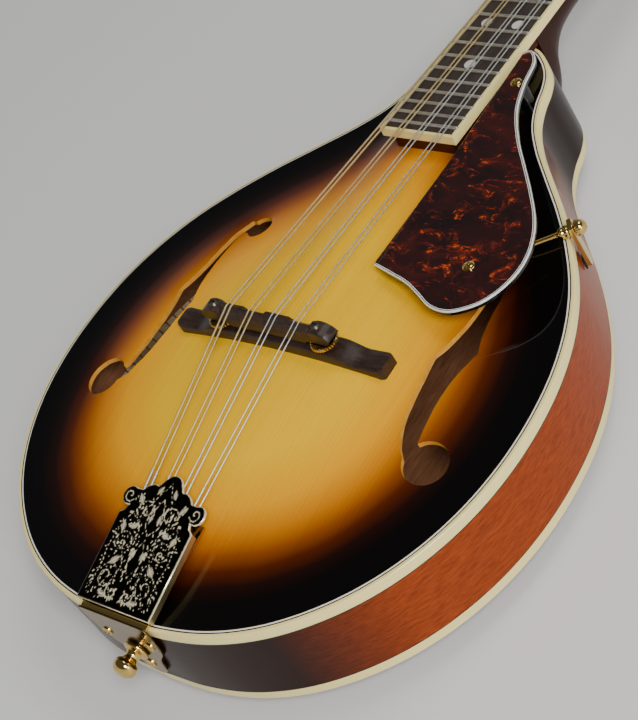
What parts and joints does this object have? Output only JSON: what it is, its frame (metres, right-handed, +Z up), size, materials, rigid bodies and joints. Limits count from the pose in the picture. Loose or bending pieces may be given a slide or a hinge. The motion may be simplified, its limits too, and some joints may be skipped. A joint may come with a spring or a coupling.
{
  "type": "arched-top teardrop mandolin",
  "caption": "Arched-top teardrop mandolin with f-holes, bound body, raised pickguard, height-adjustable bridge, covered tailpiece and geared tuners in courses of two strings.",
  "frame": {"origin": "under the middle of the bounding box, on the surface that the instrument lies on with its back down", "axes": "+Y from the tail to the headstock, +X to the treble side, +Z up from the back to the strings"},
  "size_m": [0.2636, 0.6562, 0.0898],
  "materials": {
    "spruce_top": "high gloss sunburst lacquer over spruce",
    "mahogany": "high gloss lacquer over mahogany",
    "cream_binding": "polished cream plastic",
    "bare_wood": "bare",
    "rosewood": "oiled",
    "bone": "satin",
    "steel": "satin",
    "gold": "polished gold plate",
    "black_plastic": "polished",
    "tortoiseshell": "polished, tortoiseshell figure",
    "pearl": "pearloid",
    "wound_string": "wound",
    "plain_string": "plain drawn wire"
  },
  "bodies": {
    "instrument": {"top": "spruce_top", "back": "mahogany", "rim": "mahogany", "neck": "mahogany", "top_binding": "cream_binding", "back_binding": "cream_binding", "fretboard_binding": "cream_binding", "top_lining": "bare_wood", "back_lining": "bare_wood", "neck_block": "bare_wood", "tail_block": "bare_wood", "tone_bar_bass": "bare_wood", "tone_bar_treble": "bare_wood", "fretboard": "rosewood", "bridge_base": "rosewood", "nut": "bone", "truss_rod": "steel", "bridge_stud_bass": "steel", "bridge_stud_treble": "steel", "tailpiece_base": "gold", "end_pin": "gold", "pickguard_screw_neck": "gold", "pickguard_screw_body": "gold", "pickguard_bracket": "gold", "truss_rod_cover": "black_plastic", "pickguard_post": "black_plastic", "pickguard": "tortoiseshell", "tuner_plate_bass": "gold", "tuner_plate_treble": "gold", "string_g1": "wound_string", "string_g2": "wound_string", "string_d1": "wound_string", "string_d2": "wound_string", "string_a1": "plain_string", "string_a2": "plain_string", "string_e1": "plain_string", "string_e2": "plain_string"},
    "tuner_button_bass_1": {"tuner_button_bass_1": "pearl"},
    "tuner_post_bass_1": {"tuner_post_bass_1": "gold"},
    "tuner_button_bass_2": {"tuner_button_bass_2": "pearl"},
    "tuner_post_bass_2": {"tuner_post_bass_2": "gold"},
    "tuner_button_bass_3": {"tuner_button_bass_3": "pearl"},
    "tuner_post_bass_3": {"tuner_post_bass_3": "gold"},
    "tuner_button_bass_4": {"tuner_button_bass_4": "pearl"},
    "tuner_post_bass_4": {"tuner_post_bass_4": "gold"},
    "tuner_button_treble_1": {"tuner_button_treble_1": "pearl"},
    "tuner_post_treble_1": {"tuner_post_treble_1": "gold"},
    "tuner_button_treble_2": {"tuner_button_treble_2": "pearl"},
    "tuner_post_treble_2": {"tuner_post_treble_2": "gold"},
    "tuner_button_treble_3": {"tuner_button_treble_3": "pearl"},
    "tuner_post_treble_3": {"tuner_post_treble_3": "gold"},
    "tuner_button_treble_4": {"tuner_button_treble_4": "pearl"},
    "tuner_post_treble_4": {"tuner_post_treble_4": "gold"},
    "bridge_saddle": {"bridge_saddle": "rosewood"},
    "thumbwheel_bass": {"thumbwheel_bass": "gold"},
    "thumbwheel_treble": {"thumbwheel_treble": "gold"},
    "tailpiece_cover": {"tailpiece_cover": "gold"},
    "truss_rod_nut": {"truss_rod_nut": "gold"},
    "clamp": {"clamp": "gold"},
    "clamp_nut": {"clamp_nut": "gold"}
  },
  "joints": [
    {"name": "turn_tuner_button_bass_1", "type": "hinge", "parent": "instrument", "child": "tuner_button_bass_1", "pos_m": [-0.018, 0.23087, 0.02231], "axis": [1, 0, 0], "continuous": true},
    {"name": "turn_tuner_post_bass_1", "type": "hinge", "parent": "instrument", "child": "tuner_post_bass_1", "pos_m": [-0.018, 0.22672, 0.04215], "axis": [0, 0.2246, 0.9744], "continuous": true},
    {"name": "turn_tuner_button_bass_2", "type": "hinge", "parent": "instrument", "child": "tuner_button_bass_2", "pos_m": [-0.018, 0.25426, 0.01692], "axis": [1, 0, 0], "continuous": true},
    {"name": "turn_tuner_post_bass_2", "type": "hinge", "parent": "instrument", "child": "tuner_post_bass_2", "pos_m": [-0.018, 0.25011, 0.03676], "axis": [0, 0.2246, 0.9744], "continuous": true},
    {"name": "turn_tuner_button_bass_3", "type": "hinge", "parent": "instrument", "child": "tuner_button_bass_3", "pos_m": [-0.018, 0.27764, 0.01153], "axis": [1, 0, 0], "continuous": true},
    {"name": "turn_tuner_post_bass_3", "type": "hinge", "parent": "instrument", "child": "tuner_post_bass_3", "pos_m": [-0.018, 0.27349, 0.03137], "axis": [0, 0.2246, 0.9744], "continuous": true},
    {"name": "turn_tuner_button_bass_4", "type": "hinge", "parent": "instrument", "child": "tuner_button_bass_4", "pos_m": [-0.018, 0.30103, 0.00614], "axis": [1, 0, 0], "continuous": true},
    {"name": "turn_tuner_post_bass_4", "type": "hinge", "parent": "instrument", "child": "tuner_post_bass_4", "pos_m": [-0.018, 0.29688, 0.02598], "axis": [0, 0.2246, 0.9744], "continuous": true},
    {"name": "turn_tuner_button_treble_1", "type": "hinge", "parent": "instrument", "child": "tuner_button_treble_1", "pos_m": [0.018, 0.23087, 0.02231], "axis": [1, 0, 0], "continuous": true},
    {"name": "turn_tuner_post_treble_1", "type": "hinge", "parent": "instrument", "child": "tuner_post_treble_1", "pos_m": [0.018, 0.22672, 0.04215], "axis": [0, 0.2246, 0.9744], "continuous": true},
    {"name": "turn_tuner_button_treble_2", "type": "hinge", "parent": "instrument", "child": "tuner_button_treble_2", "pos_m": [0.018, 0.25426, 0.01692], "axis": [1, 0, 0], "continuous": true},
    {"name": "turn_tuner_post_treble_2", "type": "hinge", "parent": "instrument", "child": "tuner_post_treble_2", "pos_m": [0.018, 0.25011, 0.03676], "axis": [0, 0.2246, 0.9744], "continuous": true},
    {"name": "turn_tuner_button_treble_3", "type": "hinge", "parent": "instrument", "child": "tuner_button_treble_3", "pos_m": [0.018, 0.27764, 0.01153], "axis": [1, 0, 0], "continuous": true},
    {"name": "turn_tuner_post_treble_3", "type": "hinge", "parent": "instrument", "child": "tuner_post_treble_3", "pos_m": [0.018, 0.27349, 0.03137], "axis": [0, 0.2246, 0.9744], "continuous": true},
    {"name": "turn_tuner_button_treble_4", "type": "hinge", "parent": "instrument", "child": "tuner_button_treble_4", "pos_m": [0.018, 0.30103, 0.00614], "axis": [1, 0, 0], "continuous": true},
    {"name": "turn_tuner_post_treble_4", "type": "hinge", "parent": "instrument", "child": "tuner_post_treble_4", "pos_m": [0.018, 0.29688, 0.02598], "axis": [0, 0.2246, 0.9744], "continuous": true},
    {"name": "bridge_height", "type": "slide", "parent": "instrument", "child": "bridge_saddle", "axis": [0, 0, 1], "range_m": [-0.0015, 0]},
    {"name": "turn_thumbwheel_bass", "type": "hinge", "parent": "bridge_saddle", "child": "thumbwheel_bass", "pos_m": [-0.0303, -0.17366, 0.0783], "axis": [0, 0, 1], "range_deg": [-850.4, 0]},
    {"name": "turn_thumbwheel_treble", "type": "hinge", "parent": "bridge_saddle", "child": "thumbwheel_treble", "pos_m": [0.0303, -0.17366, 0.0783], "axis": [0, 0, 1], "range_deg": [-850.4, 0]},
    {"name": "cover_slide", "type": "slide", "parent": "instrument", "child": "tailpiece_cover", "axis": [0, 0.9816, 0.1908], "range_m": [0, 0.012]},
    {"name": "turn_truss_rod_nut", "type": "hinge", "parent": "instrument", "child": "truss_rod_nut", "pos_m": [0, 0.19792, 0.04407], "axis": [0, 0.9744, -0.2246], "range_deg": [-180, 180]},
    {"name": "clamp_slide", "type": "slide", "parent": "instrument", "child": "clamp", "axis": [0.7901, 0.613, 0], "range_m": [0, 0.0025]},
    {"name": "turn_clamp_nut", "type": "hinge", "parent": "clamp", "child": "clamp_nut", "pos_m": [0.09935, -0.08401, 0.06206], "axis": [0.7901, 0.613, 0], "range_deg": [0, 1285.7]}
  ],
  "couplings": [
    {"joint": "turn_tuner_post_bass_1", "follows": "turn_tuner_button_bass_1", "ratio": -0.0625},
    {"joint": "turn_tuner_post_bass_2", "follows": "turn_tuner_button_bass_2", "ratio": -0.0625},
    {"joint": "turn_tuner_post_bass_3", "follows": "turn_tuner_button_bass_3", "ratio": -0.0625},
    {"joint": "turn_tuner_post_bass_4", "follows": "turn_tuner_button_bass_4", "ratio": -0.0625},
    {"joint": "turn_tuner_post_treble_1", "follows": "turn_tuner_button_treble_1", "ratio": 0.0625},
    {"joint": "turn_tuner_post_treble_2", "follows": "turn_tuner_button_treble_2", "ratio": 0.0625},
    {"joint": "turn_tuner_post_treble_3", "follows": "turn_tuner_button_treble_3", "ratio": 0.0625},
    {"joint": "turn_tuner_post_treble_4", "follows": "turn_tuner_button_treble_4", "ratio": 0.0625},
    {"joint": "turn_thumbwheel_bass", "follows": "bridge_height", "rad_per_m": 9894.8},
    {"joint": "turn_thumbwheel_treble", "follows": "bridge_height", "rad_per_m": 9894.8},
    {"joint": "turn_clamp_nut", "follows": "clamp_slide", "rad_per_m": 8976}
  ]
}
